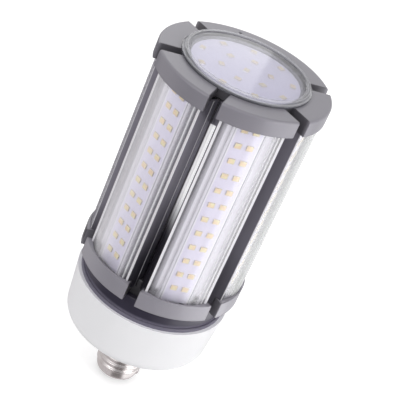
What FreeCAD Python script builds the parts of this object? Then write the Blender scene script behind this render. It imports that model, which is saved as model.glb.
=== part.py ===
import FreeCAD, Part
import math
import os

os.makedirs("parts", exist_ok=True)

# Corn lamp: six LED strips around an open core, a lens at the top, a screw base at the bottom.
# Units are millimetres. Z runs up the lamp, and the origin is on its axis at the underside of the neck,
# where the collar of the screw base ends.
# Strip 1 faces +X and the others follow every 60 degrees.

vector = FreeCAD.Vector
up = vector(0, 0, 1)

strips = 6
strip_step = 360.0 / strips
half_step = strip_step / 2.0

# Heights
contact_tip_z = -27.0
shell_end_z = -22.4
neck_bottom_z = 0.0
housing_bottom_z = 10.5
housing_top_z = 42.3
ring_bottom_z = 54.4
ring_top_z = 64.4
cap_bottom_z = 172.6
cap_top_z = 181.5
lens_height = 2.8

# Fits
slide_gap = 0.15
loose_gap = 0.25
bead_gap = 0.1

# Pieces that are fused run into each other by merge, and cutters run past what they cut by past
merge = 0.2
past = 1.0

# Strip cross-section. Depth is the distance from the lamp's axis, side is across the strip.
profile_half_width = 17.0
lip_depth = 40.2
wall = 1.3
root_gap = 0.3
plate_front = 38.4
plate_thickness = 1.5
plate_back = plate_front - plate_thickness
fin_side = 9.6
fin_thickness = 1.2
fin_root_depth = 31.0
boss_depth = 25.6
boss_radius = 2.7
boss_bore = 1.25
boss_land = 3.5
boss_room = 3.0
web_thickness = 1.8
ridge_depth = 33.3
ridge_height = 0.35
ridge_width = 0.7
board_rail = 0.6
board_rail_height = 1.1
lead_side = 5.0
window_half = 1.4
window_height = 3.4

# Strip LED board and its LEDs
board_width = 17.0
board_thickness = 1.0
board_end_gap = 1.5
led_rows = 12
led_pitch = 9.0
led_first_row = 12.4
led_column = 3.1
led_wide = 2.8
led_long = 3.5
led_high = 0.7
led_edge = 0.25

# Cover of a strip
cover_rise = 4.6
cover_thickness = 1.0
cover_foot_top = lip_depth + 0.1
cover_crown = cover_foot_top + cover_rise
cover_half_width = profile_half_width - wall - slide_gap
bead_depth = 39.3
bead_width = 0.6
bead_height = 0.3
foot_gap = 0.1

# Top cap
cap_margin = 1.6
cap_radius = cover_crown + cap_margin
cap_edge_round = 1.3
slot_width = 7.0
closed_slot = 1
well_radius = 31.2
well_depth = 2.4
well_wall = 1.8
cap_slot_inner = well_radius + well_wall
cap_floor = 3.0
wire_notch_width = 3.0
wire_notch_roof = 0.4
wire_hole_side = 6.0
wire_hole_radius = 1.6
core_radius = boss_depth + boss_room
tool_hole_radius = 0.9
tool_hole_depth = 1.2
tool_hole_place = 41.0
tool_hole_angle = 114.7
cap_land_z = cap_top_z - well_depth - cap_floor

# Top LED board, lens and LEDs
top_board_margin = 1.9
top_board_radius = well_radius - top_board_margin
top_board_thickness = 1.6
lens_overhang = 3.6
lens_radius = well_radius + lens_overhang
lens_bevel = 1.5
lens_rim_width = 3.2
lens_plate = 1.6
lens_skirt = 1.0
lens_skirt_depth = 1.3
lens_dome = 1.1
lens_step = 0.5
top_led_counts = (1, 6, 9)
top_led_angles = (0.0, 30.0, 20.0)
top_led_middle = 13.4
top_led_margin = 4.3
top_led_outside = top_board_radius - top_led_margin
top_led_radii = (0.0, top_led_middle, top_led_outside)

# Bottom ring and flange
ring_margin = 1.0
ring_radius = cover_crown + ring_margin
ring_pocket_depth = 5.0
ring_slot_inner = 36.6
ring_opening = boss_depth - boss_land
flange_radius = lip_depth
flange_lip_width = 1.5
flange_lip_radius = flange_radius + flange_lip_width
flange_lip_height = 1.7
flange_plate = 3.0
flange_wall = 2.0
spigot_depth = 5.0
lip_chamfer = 0.6
snap_place = 2.4
snap_width = 1.2
snap_height = 0.35
snap_gap = 0.1

# Screw base, thread of the 27 mm Edison kind
thread_root_radius = 12.13
thread_depth = 1.095
thread_radius = thread_root_radius + thread_depth
thread_pitch = 3.629
thread_turns = 4.1
thread_start_z = -19.6
crest_half = 0.85
crest_shoulder = 0.55
flank_half = 1.62
collar_step = 1.07
collar_radius = thread_root_radius + collar_step
collar_height = 3.0
collar_flare = 0.8
sheet = 0.35
rolled_lip = 0.4
end_lip_width = 1.2
end_cone_height = 1.1
insulator_seat = 0.58
insulator_radius = thread_root_radius - sheet - insulator_seat
insulator_tip_radius = 5.4
insulator_rise = 3.0
insulator_gap = 0.1
contact_radius = 4.8
contact_height = 1.3
contact_edge = 0.4
rivet_radius = 1.0
rivet_head_radius = 1.9
rivet_head_height = 0.5
rivet_gap = 0.05

# Driver housing
housing_step = 1.85
housing_draft = 2.35
housing_top_radius = flange_lip_radius + housing_step
housing_bottom_radius = housing_top_radius - housing_draft
housing_round = 7.1
housing_wall = 2.1
housing_floor = 2.5
neck_overhang = 3.8
neck_radius = collar_radius + neck_overhang
neck_wall = 2.08
neck_round = 1.5
neck_foot = 1.5
neck_spigot_rise = 6.0
collar_fit_gap = 0.05
thread_fit_gap = 0.1
post_circle = 30.0
post_radius = 3.6
post_height = 6.0

# Screws, self-tapping, 3 mm across the thread and drawn at its root
screw_hole = 1.7
screw_head_radius = 2.7
screw_head_height = 1.6
head_side_gap = 0.3
head_top_gap = 0.2
screw_bite = 9.0
board_screw_bite = 4.4
recess_radius = 1.0
recess_depth = 0.9

# Driver board and its parts
driver_margin = 5.0
driver_radius = post_circle + driver_margin
driver_thickness = 1.6
part_circle = 22.0
part_angles = [44.4 + 60.0 * i for i in range(6)]
can_edge = 0.4
can_bead_place = 0.16
input_can_radius = 8.0
input_can_height = 22.0
output_can_radius = 5.0
output_can_height = 16.0
frame_wide = 16.0
frame_deep = 6.0
frame_high = 17.0
frame_low = 1.0
frame_leg = 3.0
frame_side = 1.5
frame_core_half = 2.5
bobbin_deep = 14.0
bobbin_flange = 1.0
winding_radius = 5.8
drum_radius = 6.0
drum_winding = 4.8
drum_flange = 1.4
drum_height = 12.0
film_thick = 8.0
film_wide = 15.0
film_high = 12.0
film_edge = 1.0
bridge_wide = 6.4
bridge_long = 8.0
bridge_lift = 0.4
bridge_top = 3.0
bridge_leg = 1.2
bridge_leg_width = 1.0

# Leads
lead_radius = 0.8
lead_gap = 0.1
neck_lead_margin = 3.1
contact_lead_bend_z = -7.0
contact_lead_drop = 4.0
core_lead_bow = 1.5
strip_lead_margin = 2.6


def turned(points):
    # Solid of revolution about the lamp's axis from (radius, height) corners
    corners = [vector(r, 0, z) for r, z in points]
    face = Part.Face(Part.makePolygon(corners + corners[:1]))
    return face.revolve(vector(0, 0, 0), up, 360)


def disc(radius, bottom, top):
    return Part.makeCylinder(radius, top - bottom, vector(0, 0, bottom))


def prism(points, bottom, top):
    corners = [vector(x, y, bottom) for x, y in points]
    face = Part.Face(Part.makePolygon(corners + corners[:1]))
    return face.extrude(vector(0, 0, top - bottom))


def block(x0, x1, y0, y1, z0, z1):
    return Part.makeBox(x1 - x0, y1 - y0, z1 - z0, vector(x0, y0, z0))


def turn(shape, degrees):
    moved = shape.copy()
    moved.rotate(vector(0, 0, 0), up, degrees)
    return moved


def around(shape, angles):
    return [turn(shape, angle) for angle in angles]


def joined(shapes):
    first = shapes[0]
    return first.multiFuse(shapes[1:]).removeSplitter()


def bar(points, radius):
    # Round wire through the given points, with a ball at each bend
    pieces = []
    for start, end in zip(points, points[1:]):
        step = end.sub(start)
        pieces.append(Part.makeCylinder(radius, step.Length, start, step))
    for middle in points[1:-1]:
        pieces.append(Part.makeSphere(radius, middle))
    return joined(pieces)


def dome(radius, rise, low_z, at_edge):
    # Arc of a shallow spherical dome from the axis out to the radius.
    # It rises above its edge at low_z, or hangs below it if the rise is negative.
    sphere = (radius * radius + rise * rise) / (2.0 * abs(rise))
    middle = math.sqrt(sphere * sphere - radius * radius / 4.0) - (sphere - abs(rise))
    sign = 1.0 if rise > 0 else -1.0
    points = [vector(0, 0, low_z + rise), vector(radius / 2.0, 0, low_z + sign * middle)]
    points.append(vector(radius, 0, low_z))
    if at_edge:
        points.reverse()
    return Part.Arc(points[0], points[1], points[2]).toShape()


def save(shape, name):
    shape.exportStep("parts/" + name + ".step")


strip_angles = [strip_step * i for i in range(strips)]
# The side walls of neighbouring profiles almost meet at this depth
half_turn = math.radians(half_step)
wall_root_depth = (root_gap / 2.0 + profile_half_width * math.cos(half_turn)) / math.sin(half_turn)
slot_angles = [half_step + strip_step * i for i in range(strips)]


def arch(crown, foot, half_width, bottom, top, inset=0.0):
    # Bow between two feet, closed by a straight chord at the feet
    left = vector(foot, -half_width, bottom)
    right = vector(foot, half_width, bottom)
    bow = Part.Arc(left, vector(crown, 0, bottom), right).toShape()
    base = [vector(foot - inset, half_width, bottom), vector(foot - inset, -half_width, bottom)]
    if inset > 0:
        edges = [bow, Part.makeLine(right, base[0]), Part.makeLine(base[0], base[1])]
        edges.append(Part.makeLine(base[1], left))
    else:
        edges = [bow, Part.makeLine(right, left)]
    face = Part.Face(Part.Wire(edges))
    return face.extrude(vector(0, 0, top - bottom))


def strip_room(gap, bottom, top):
    # Room that a strip takes at its ends, with the given gap all round
    side = profile_half_width + gap
    body = block(ring_opening, lip_depth + gap, -side, side, bottom, top)
    bow = arch(cover_crown + gap, cover_foot_top, cover_half_width + gap, bottom, top, 2.0)
    return body.fuse(bow)


profile_bottom_z = ring_top_z - ring_pocket_depth
profile_top_z = cap_land_z

# Strip profile: front plate, two deep side walls, fins and a screw boss, one extrusion
side = profile_half_width
inner = side - wall


def along(x0, x1, y0, y1):
    # Rectangle of the profile's section, drawn out over its whole length
    low, high = sorted((y0, y1))
    return block(x0, x1, low, high, profile_bottom_z, profile_top_z)


profile_pieces = [along(plate_back, plate_front, -inner - merge, inner + merge)]
for sign in (-1, 1):
    profile_pieces.append(along(wall_root_depth, lip_depth, sign * inner, sign * side))
    fin_outside = fin_side + fin_thickness
    profile_pieces.append(along(fin_root_depth, plate_back + merge, sign * fin_side, sign * fin_outside))
    rail_side = board_width / 2.0 + slide_gap
    rail_outside = rail_side + board_rail
    rail_front = plate_front + board_rail_height
    profile_pieces.append(along(plate_front - merge, rail_front, sign * rail_side, sign * rail_outside))
web_half = web_thickness / 2.0
profile_pieces.append(along(boss_depth, plate_back + merge, -web_half, web_half))
profile_height = profile_top_z - profile_bottom_z
boss_centre = vector(boss_depth, 0, profile_bottom_z)
profile_pieces.append(Part.makeCylinder(boss_radius, profile_height, boss_centre))
profile = joined(profile_pieces)
profile = profile.cut(Part.makeCylinder(boss_bore, profile_height, boss_centre))

# Grooves in the walls: one inside for the bead of the cover, one outside as a shadow line
bead_low = bead_depth - bead_width / 2.0
bead_high = bead_depth + bead_width / 2.0
line_low = ridge_depth - ridge_width / 2.0
line_high = ridge_depth + ridge_width / 2.0
for sign in (-1, 1):
    groove_floor = inner + bead_height + bead_gap
    groove = along(bead_low - bead_gap, bead_high + bead_gap, sign * (inner - merge), sign * groove_floor)
    line = along(line_low, line_high, sign * (side - ridge_height), sign * (side + merge))
    profile = profile.cut(groove).cut(line)

# Window for the strip lead, at the lower end of the front plate
window = block(plate_back - past, plate_front + past, lead_side - window_half, lead_side + window_half,
               profile_bottom_z - past, profile_bottom_z + window_height)
profile = profile.cut(window).removeSplitter()

# Strip LED board
board_bottom = profile_bottom_z + board_end_gap
board_top = profile_top_z - board_end_gap
board_half = board_width / 2.0
board_front = plate_front + board_thickness
strip_board = block(plate_front, board_front, -board_half, board_half, board_bottom, board_top)


def led_body(wide, tall, high):
    # Package with its top edges sloped in, base on the plane of zero height, facing +X
    low = [vector(0, -wide / 2, -tall / 2), vector(0, wide / 2, -tall / 2)]
    low += [vector(0, wide / 2, tall / 2), vector(0, -wide / 2, tall / 2)]
    w = wide / 2 - led_edge
    t = tall / 2 - led_edge
    high_corners = [vector(high, -w, -t), vector(high, w, -t), vector(high, w, t), vector(high, -w, t)]
    base = Part.makePolygon(low + low[:1])
    lid = Part.makePolygon(high_corners + high_corners[:1])
    return Part.makeLoft([base, lid], True, True)


led_list = []
led_face = led_body(led_long, led_wide, led_high)
for row in range(led_rows):
    height = cap_top_z - led_first_row - led_pitch * row
    for sign in (-1, 1):
        led = led_face.copy()
        led.translate(vector(board_front, sign * led_column, height))
        led_list.append(led)
strip_leds = Part.makeCompound(led_list)

# Strip cover: bow with two feet, a bead on each foot
cover_bottom = profile_bottom_z
cover_top = profile_top_z - slide_gap
foot_height = cover_foot_top - plate_front - foot_gap
outer_bow = arch(cover_crown, cover_foot_top, cover_half_width, cover_bottom, cover_top, foot_height)
inner_half = cover_half_width - cover_thickness
inner_bow = arch(cover_crown - cover_thickness, cover_foot_top - foot_gap, inner_half,
                 cover_bottom - past, cover_top + past, foot_height + past)
cover_pieces = [outer_bow.cut(inner_bow)]
for sign in (-1, 1):
    bead_side = sorted((sign * (cover_half_width - merge), sign * (cover_half_width + bead_height)))
    cover_pieces.append(block(bead_low, bead_high, bead_side[0], bead_side[1], cover_bottom, cover_top))
cover = joined(cover_pieces)

for number, angle in enumerate(strip_angles, 1):
    save(turn(profile, angle), "strip_profile_%d" % number)
    save(turn(strip_board, angle), "strip_board_%d" % number)
    save(turn(strip_leds, angle), "strip_leds_%d" % number)
    save(turn(cover, angle), "strip_cover_%d" % number)


def slot(inner_radius, bottom, top):
    half = slot_width / 2.0
    return block(inner_radius, cap_radius + past, -half, half, bottom, top)


# Top cap: lobed disc, round well above, pockets for the strips below
cap = disc(cap_radius, cap_bottom_z, cap_top_z)
top_rim = [e for e in cap.Edges if abs(e.BoundBox.ZMin - cap_top_z) < 0.01]
cap = cap.makeFillet(cap_edge_round, top_rim)
well_floor_z = cap_top_z - well_depth
open_slots = [a for i, a in enumerate(slot_angles) if i != closed_slot]
cap_cuts = around(slot(cap_slot_inner, cap_bottom_z - past, cap_top_z + past), open_slots)
cap_cuts.append(disc(well_radius, well_floor_z, cap_top_z + past))
cap_cuts.append(disc(core_radius, cap_bottom_z - past, cap_land_z))
cap_cuts += around(strip_room(loose_gap, cap_bottom_z - past, cap_land_z), strip_angles)
notch_half = wire_notch_width / 2.0
notch = block(well_radius - past, cap_slot_inner + past, -notch_half, notch_half, well_floor_z,
              cap_top_z - wire_notch_roof)
cap_cuts.append(turn(notch, slot_angles[closed_slot]))
hole_low_z = cap_land_z - past
hole_length = cap_floor + 2.0 * past
cap_hole = Part.makeCylinder(screw_hole, hole_length, vector(boss_depth, 0, hole_low_z))
head_seat_z = well_floor_z - screw_head_height - head_top_gap
head_room_height = screw_head_height + head_top_gap + past
head_room_radius = screw_head_radius + head_side_gap
head_room = Part.makeCylinder(head_room_radius, head_room_height, vector(boss_depth, 0, head_seat_z))
cap_cuts += around(cap_hole.fuse(head_room), strip_angles)
for sign in (-1, 1):
    wire_place = vector(0, sign * wire_hole_side, hole_low_z)
    cap_cuts.append(Part.makeCylinder(wire_hole_radius, hole_length, wire_place))
tool_place = vector(tool_hole_place, 0, cap_top_z - tool_hole_depth)
tool_hole = Part.makeCylinder(tool_hole_radius, tool_hole_depth + past, tool_place)
cap_cuts.append(turn(tool_hole, tool_hole_angle))
for cutter in cap_cuts:
    cap = cap.cut(cutter)
save(cap.removeSplitter(), "top_cap")

# Top LED board and LEDs
top_board_z = well_floor_z + top_board_thickness
save(disc(top_board_radius, well_floor_z, top_board_z), "top_board")
led_up = led_body(led_wide, led_long, led_high)
led_up.rotate(vector(0, 0, 0), vector(0, 1, 0), -90)
top_list = []
for radius, count, first in zip(top_led_radii, top_led_counts, top_led_angles):
    for i in range(count):
        led = led_up.copy()
        led.translate(vector(radius, 0, top_board_z))
        top_list.append(turn(led, first + 360.0 * i / count))
save(Part.makeCompound(top_list), "top_leds")

# Lens: clear domed plate with a raised bevelled rim and a short skirt that drops into the well
lens_top = cap_top_z + lens_height
rim_inner = lens_radius - lens_rim_width
step_radius = rim_inner - lens_step
step_z = lens_top - lens_step
skirt_outer = well_radius - slide_gap
skirt_inner = skirt_outer - lens_skirt
inside_z = step_z - lens_plate
lens_points = [
    (0.0, inside_z + lens_dome),
    (skirt_inner, inside_z),
    (skirt_inner, cap_top_z - lens_skirt_depth),
    (skirt_outer, cap_top_z - lens_skirt_depth),
    (skirt_outer, cap_top_z),
    (lens_radius, cap_top_z),
    (lens_radius, lens_top - lens_bevel),
    (lens_radius - lens_bevel, lens_top),
    (rim_inner, lens_top),
    (step_radius, step_z),
    (0.0, step_z + lens_dome),
]
lens_corners = [vector(r, 0, z) for r, z in lens_points]
lens_edges = [Part.makeLine(p, q) for p, q in zip(lens_corners[1:-1], lens_corners[2:-1])]
lens_edges.insert(0, dome(skirt_inner, lens_dome, inside_z, False))
lens_edges.append(dome(step_radius, lens_dome, step_z, True))
lens_edges.append(Part.makeLine(lens_corners[-1], lens_corners[0]))
lens_face = Part.Face(Part.Wire(lens_edges))
save(lens_face.revolve(vector(0, 0, 0), up, 360), "top_lens")

# Bottom ring: same lobes, pockets above, open middle
ring = disc(ring_radius, ring_bottom_z, ring_top_z)
ring_cuts = around(slot(ring_slot_inner, ring_bottom_z - past, ring_top_z + past), slot_angles)
ring_cuts.append(disc(ring_opening, ring_bottom_z - past, ring_top_z + past))
ring_cuts.append(disc(core_radius, profile_bottom_z, ring_top_z + past))
ring_cuts += around(strip_room(slide_gap, profile_bottom_z, ring_top_z + past), strip_angles)
flange_plate_z = ring_bottom_z - flange_plate
ring_hole_low = vector(boss_depth, 0, flange_plate_z - past)
ring_hole = Part.makeCylinder(screw_hole, ring_top_z + past - ring_hole_low.z, ring_hole_low)
ring_cuts += around(ring_hole, strip_angles)
for cutter in ring_cuts:
    ring = ring.cut(cutter)
save(ring.removeSplitter(), "bottom_ring")

# Base flange: cup with its plate under the ring, a lip on the housing and a spigot into it
housing_taper = (housing_top_radius - housing_bottom_radius) / (housing_top_z - housing_bottom_z)
mouth_radius = housing_top_radius - housing_wall
spigot_top = mouth_radius - slide_gap
spigot_low = spigot_top - housing_taper * spigot_depth
snap_top = housing_top_z - snap_place
snap_low = snap_top - snap_width
flange_points = [
    (ring_opening, flange_plate_z),
    (flange_radius - flange_wall, flange_plate_z),
    (flange_radius - flange_wall, housing_top_z - spigot_depth),
    (spigot_low, housing_top_z - spigot_depth),
    (spigot_top - housing_taper * (snap_place + snap_width), snap_low),
    (spigot_top - housing_taper * snap_place + snap_height, (snap_low + snap_top) / 2.0),
    (spigot_top - housing_taper * snap_place, snap_top),
    (spigot_top, housing_top_z),
    (flange_lip_radius, housing_top_z),
    (flange_lip_radius, housing_top_z + flange_lip_height - lip_chamfer),
    (flange_lip_radius - lip_chamfer, housing_top_z + flange_lip_height),
    (flange_radius, housing_top_z + flange_lip_height),
    (flange_radius, ring_bottom_z - lip_chamfer),
    (flange_radius - lip_chamfer, ring_bottom_z),
    (ring_opening, ring_bottom_z),
]
flange = turned(flange_points)
for cutter in around(ring_hole, strip_angles):
    flange = flange.cut(cutter)
save(flange, "base_flange")


def screw(head_z, tip_z):
    # Pan head with a hexagon socket, head up, at the place of the screw boss of strip 1
    place = vector(boss_depth, 0, tip_z)
    shank = Part.makeCylinder(boss_bore, head_z - tip_z, place)
    head = Part.makeCylinder(screw_head_radius, screw_head_height, vector(boss_depth, 0, head_z))
    socket_corners = []
    for i in range(6):
        angle = math.radians(60.0 * i)
        x = boss_depth + recess_radius * math.cos(angle)
        y = recess_radius * math.sin(angle)
        socket_corners.append((x, y))
    head_top = head_z + screw_head_height
    socket = prism(socket_corners, head_top - recess_depth, head_top + past)
    return shank.fuse(head).cut(socket)


cap_screw = screw(head_seat_z, cap_land_z - screw_bite)
save(Part.makeCompound(around(cap_screw, strip_angles)), "cap_screws")
ring_screw_length = profile_bottom_z + screw_bite - flange_plate_z
ring_screw = screw(0.0, -ring_screw_length)
ring_screw.rotate(vector(0, 0, 0), vector(1, 0, 0), 180)
ring_screw.translate(vector(0, 0, flange_plate_z))
save(Part.makeCompound(around(ring_screw, strip_angles)), "ring_screws")

# Driver housing: tapered cup with a rounded bottom edge, neck and spigot for the screw shell
spigot_in_shell = collar_radius - sheet - collar_fit_gap
spigot_in_thread = thread_root_radius - sheet - thread_fit_gap
neck_bore = spigot_in_thread - neck_wall
collar_bottom = neck_bottom_z - collar_height
neck_low_z = shell_end_z + neck_spigot_rise
outer_points = [
    (0.0, housing_bottom_z),
    (housing_bottom_radius, housing_bottom_z),
    (housing_top_radius, housing_top_z),
    (0.0, housing_top_z),
]
housing = turned(outer_points)
bottom_edge = [e for e in housing.Edges if abs(e.BoundBox.ZMax - housing_bottom_z) < 0.01 and e.isClosed()]
housing = housing.makeFillet(housing_round, bottom_edge)
inside_floor = housing_bottom_z + housing_floor
inside_points = [
    (0.0, inside_floor),
    (housing_bottom_radius - housing_wall, inside_floor),
    (mouth_radius, housing_top_z + past),
    (0.0, housing_top_z + past),
]
inside = turned(inside_points)
inside_edge = [e for e in inside.Edges if abs(e.BoundBox.ZMax - inside_floor) < 0.01 and e.isClosed()]
inside = inside.makeFillet(housing_round - housing_wall, inside_edge)
housing = housing.cut(inside)
neck_points = [
    (neck_bore, inside_floor),
    (neck_bore, neck_low_z),
    (spigot_in_thread, neck_low_z),
    (spigot_in_thread, collar_bottom),
    (spigot_in_shell, collar_bottom + sheet + thread_fit_gap),
    (spigot_in_shell, neck_bottom_z),
    (neck_radius - neck_round, neck_bottom_z),
    (neck_radius, neck_bottom_z + neck_round),
    (neck_radius, housing_bottom_z),
    (neck_radius + neck_foot, housing_bottom_z),
    (neck_radius + neck_foot, inside_floor),
]
neck = turned(neck_points)
housing = housing.cut(disc(neck_radius, housing_bottom_z - past, inside_floor + past)).fuse(neck)
post = Part.makeCylinder(post_radius, post_height + merge, vector(post_circle, 0, inside_floor - merge))
post_bore = Part.makeCylinder(boss_bore, post_height, vector(post_circle, 0, inside_floor))
snap_room = slide_gap + snap_height
snap_groove = turned([
    (mouth_radius - past, snap_low - snap_gap),
    (spigot_top - housing_taper * snap_place + snap_room, snap_low - snap_gap),
    (spigot_top - housing_taper * snap_place + snap_room, snap_top + snap_gap),
    (mouth_radius - past, snap_top + snap_gap),
])
housing = housing.cut(snap_groove)
post_angles = [90.0, 210.0, 330.0]
for angle in post_angles:
    housing = housing.fuse(turn(post, angle))
for angle in post_angles:
    housing = housing.cut(turn(post_bore, angle))
save(housing.removeSplitter(), "driver_housing")

# Screw shell: plain collar, knuckle thread swept along a helix, rolled end
thread_height = thread_pitch * thread_turns
helix = Part.makeHelix(thread_pitch, thread_height, thread_root_radius)
ridge_root = thread_root_radius - sheet / 2.0
low_flank = vector(ridge_root, 0, -flank_half)
low_shoulder = vector(thread_radius - crest_shoulder, 0, -crest_half)
high_shoulder = vector(thread_radius - crest_shoulder, 0, crest_half)
high_flank = vector(ridge_root, 0, flank_half)
crest = Part.Arc(low_shoulder, vector(thread_radius, 0, 0), high_shoulder).toShape()
ridge_edges = [Part.makeLine(low_flank, low_shoulder), crest, Part.makeLine(high_shoulder, high_flank)]
ridge_edges.append(Part.makeLine(high_flank, low_flank))
ridge = Part.Wire(helix).makePipeShell([Part.Wire(ridge_edges)], True, True)
ridge.translate(vector(0, 0, thread_start_z))
end_lip_radius = insulator_radius - end_lip_width
end_lip_z = shell_end_z + rolled_lip
end_cone_z = end_lip_z + end_cone_height
tube_points = [
    (thread_root_radius - sheet, collar_bottom),
    (thread_root_radius - sheet, end_cone_z),
    (end_lip_radius, end_lip_z),
    (end_lip_radius, shell_end_z),
    (thread_root_radius - rolled_lip, shell_end_z),
    (thread_root_radius, end_cone_z - rolled_lip),
    (thread_root_radius, collar_bottom - collar_flare),
    (collar_radius, collar_bottom),
    (collar_radius, neck_bottom_z),
    (collar_radius - sheet, neck_bottom_z),
    (collar_radius - sheet, collar_bottom + sheet),
]
shell = turned(tube_points).fuse(ridge)
save(shell.removeSplitter(), "screw_shell")

# Insulator: dark cone in the rolled end of the shell, with the rivet of the contact through it
insulator_tip_z = contact_tip_z + contact_height
insulator_top_z = shell_end_z + insulator_rise
end_slope = end_cone_height / (thread_root_radius - sheet - end_lip_radius)
rivet_bore = rivet_radius + rivet_gap
insulator_points = [
    (rivet_bore, insulator_tip_z),
    (insulator_tip_radius, insulator_tip_z),
    (end_lip_radius - insulator_gap, shell_end_z - insulator_gap),
    (end_lip_radius - insulator_gap, end_lip_z),
    (end_lip_radius, end_lip_z),
    (insulator_radius, end_lip_z + end_slope * end_lip_width),
    (insulator_radius, insulator_top_z),
    (rivet_bore, insulator_top_z),
]
save(turned(insulator_points), "insulator")

# Centre contact: low dome with a rivet stem, spread over the top of the insulator
dome_rim_z = insulator_tip_z - contact_edge
rivet_top_z = insulator_top_z + rivet_head_height
contact_corners = [
    vector(contact_radius, 0, dome_rim_z),
    vector(contact_radius, 0, insulator_tip_z),
    vector(rivet_radius, 0, insulator_tip_z),
    vector(rivet_radius, 0, insulator_top_z),
    vector(rivet_head_radius, 0, insulator_top_z),
    vector(rivet_head_radius, 0, rivet_top_z),
    vector(0, 0, rivet_top_z),
    vector(0, 0, contact_tip_z),
]
contact_edges = [Part.makeLine(p, q) for p, q in zip(contact_corners, contact_corners[1:])]
contact_edges.append(dome(contact_radius, contact_tip_z - dome_rim_z, dome_rim_z, False))
contact_face = Part.Face(Part.Wire(contact_edges))
save(contact_face.revolve(vector(0, 0, 0), up, 360), "centre_contact")

# Driver board on the posts of the housing, with three screws
driver_z = inside_floor + post_height
driver_top = driver_z + driver_thickness
driver_board = disc(driver_radius, driver_z, driver_top)
post_hole_low = vector(post_circle, 0, driver_z - past)
post_hole = Part.makeCylinder(screw_hole, driver_thickness + 2.0 * past, post_hole_low)
for cutter in around(post_hole, post_angles):
    driver_board = driver_board.cut(cutter)
save(driver_board, "driver_board")
board_screw = screw(driver_top, driver_z - board_screw_bite)
board_screw.translate(vector(post_circle - boss_depth, 0, 0))
save(Part.makeCompound(around(board_screw, post_angles)), "driver_screws")


def on_driver(shape, angle):
    # A part drawn over the origin, base at zero, set on the driver board
    placed = shape.copy()
    placed.translate(vector(part_circle, 0, driver_top))
    return turn(placed, angle)


def can(radius, height):
    # Electrolytic capacitor: rounded rims and the ring pressed in above its foot
    bead_z = height * can_bead_place
    can_points = [
        (0.0, 0.0),
        (radius - can_edge, 0.0),
        (radius, can_edge),
        (radius, bead_z - can_edge),
        (radius - can_edge, bead_z),
        (radius, bead_z + can_edge),
        (radius, height - can_edge),
        (radius - can_edge, height),
        (0.0, height),
    ]
    return turned(can_points)


save(on_driver(can(input_can_radius, input_can_height), part_angles[0]), "input_capacitor")
save(on_driver(can(output_can_radius, output_can_height), part_angles[1]), "output_capacitor")

# Transformer: ferrite frame with two windows round a wound bobbin with two flanges
frame_half = frame_wide / 2.0
depth_half = frame_deep / 2.0
frame_top = frame_low + frame_high
window_low = frame_low + frame_leg
window_top = frame_top - frame_leg
frame = block(-frame_half, frame_half, -depth_half, depth_half, frame_low, frame_top)
for sign in (-1, 1):
    hollow = sorted((sign * frame_core_half, sign * (frame_half - frame_side)))
    frame = frame.cut(block(hollow[0], hollow[1], -frame_deep, frame_deep, window_low, window_top))
bobbin_side = frame_half - frame_side - slide_gap
bobbin_half = bobbin_deep / 2.0
winding_low = window_low + bobbin_flange
low_flange = block(-bobbin_side, bobbin_side, -bobbin_half, bobbin_half, 0.0, winding_low)
frame_seat = block(-frame_wide, frame_wide, -depth_half, depth_half, 0.0, window_low)
winding_top = window_top - bobbin_flange
top_flange = block(-bobbin_side, bobbin_side, -bobbin_half, bobbin_half, winding_top, window_top)
winding = disc(winding_radius, winding_low, winding_top)
transformer = joined([frame, low_flange.cut(frame_seat), top_flange, winding])
save(on_driver(transformer, part_angles[2]), "transformer")

# Drum inductor: winding between two round flanges
drum_points = [
    (0.0, 0.0),
    (drum_radius, 0.0),
    (drum_radius, drum_flange),
    (drum_winding, drum_flange),
    (drum_winding, drum_height - drum_flange),
    (drum_radius, drum_height - drum_flange),
    (drum_radius, drum_height),
    (0.0, drum_height),
]
save(on_driver(turned(drum_points), part_angles[3]), "drum_inductor")

# Film capacitor: upright box with rounded edges
film_half = film_wide / 2.0
film = block(-film_thick / 2.0, film_thick / 2.0, -film_half, film_half, 0.0, film_high)
film_edges = [e for e in film.Edges if e.BoundBox.ZMax > film_edge]
save(on_driver(film.makeFillet(film_edge, film_edges), part_angles[4]), "film_capacitor")

# Bridge rectifier: small moulded block on its side legs
bridge_half = bridge_long / 2.0
bridge_side = bridge_wide / 2.0
bridge_pieces = [block(-bridge_side, bridge_side, -bridge_half, bridge_half, bridge_lift, bridge_top)]
leg_reach = bridge_side + bridge_leg
for y in (-bridge_half / 2.0, bridge_half / 2.0):
    leg_edge = bridge_leg_width / 2.0
    bridge_pieces.append(block(-leg_reach, leg_reach, y - leg_edge, y + leg_edge, 0.0, bridge_lift + merge))
save(on_driver(joined(bridge_pieces), part_angles[5]), "bridge_rectifier")

# Leads. The shell lead and the contact lead run down the neck, the others up the core.
neck_lead_side = neck_bore - neck_lead_margin
shell_lead_z = neck_low_z - lead_radius - lead_gap
shell_lead_end = thread_root_radius - sheet - lead_gap
shell_route = [
    vector(neck_lead_side, 0, driver_z),
    vector(neck_lead_side, 0, shell_lead_z),
    vector(shell_lead_end, 0, shell_lead_z),
]
save(bar(shell_route, lead_radius), "shell_lead")
contact_route = [
    vector(-neck_lead_side, 0, driver_z),
    vector(-neck_lead_side, 0, contact_lead_bend_z),
    vector(0, 0, rivet_top_z + contact_lead_drop),
    vector(0, 0, rivet_top_z),
]
save(bar(contact_route, lead_radius), "contact_lead")
output_leads = []
core_middle_z = (profile_bottom_z + profile_top_z) / 2.0
for sign in (-1, 1):
    y = sign * wire_hole_side
    output_route = [
        vector(0, y, driver_top),
        vector(0, y, ring_top_z),
        vector(sign * core_lead_bow, y + sign * core_lead_bow, core_middle_z),
        vector(0, y, cap_land_z - screw_bite),
        vector(0, y, well_floor_z),
    ]
    output_leads.append(bar(output_route, lead_radius))
save(Part.makeCompound(output_leads), "output_leads")
strip_lead_rise = ring_opening - strip_lead_margin
strip_lead_z = board_bottom + lead_radius
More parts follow.
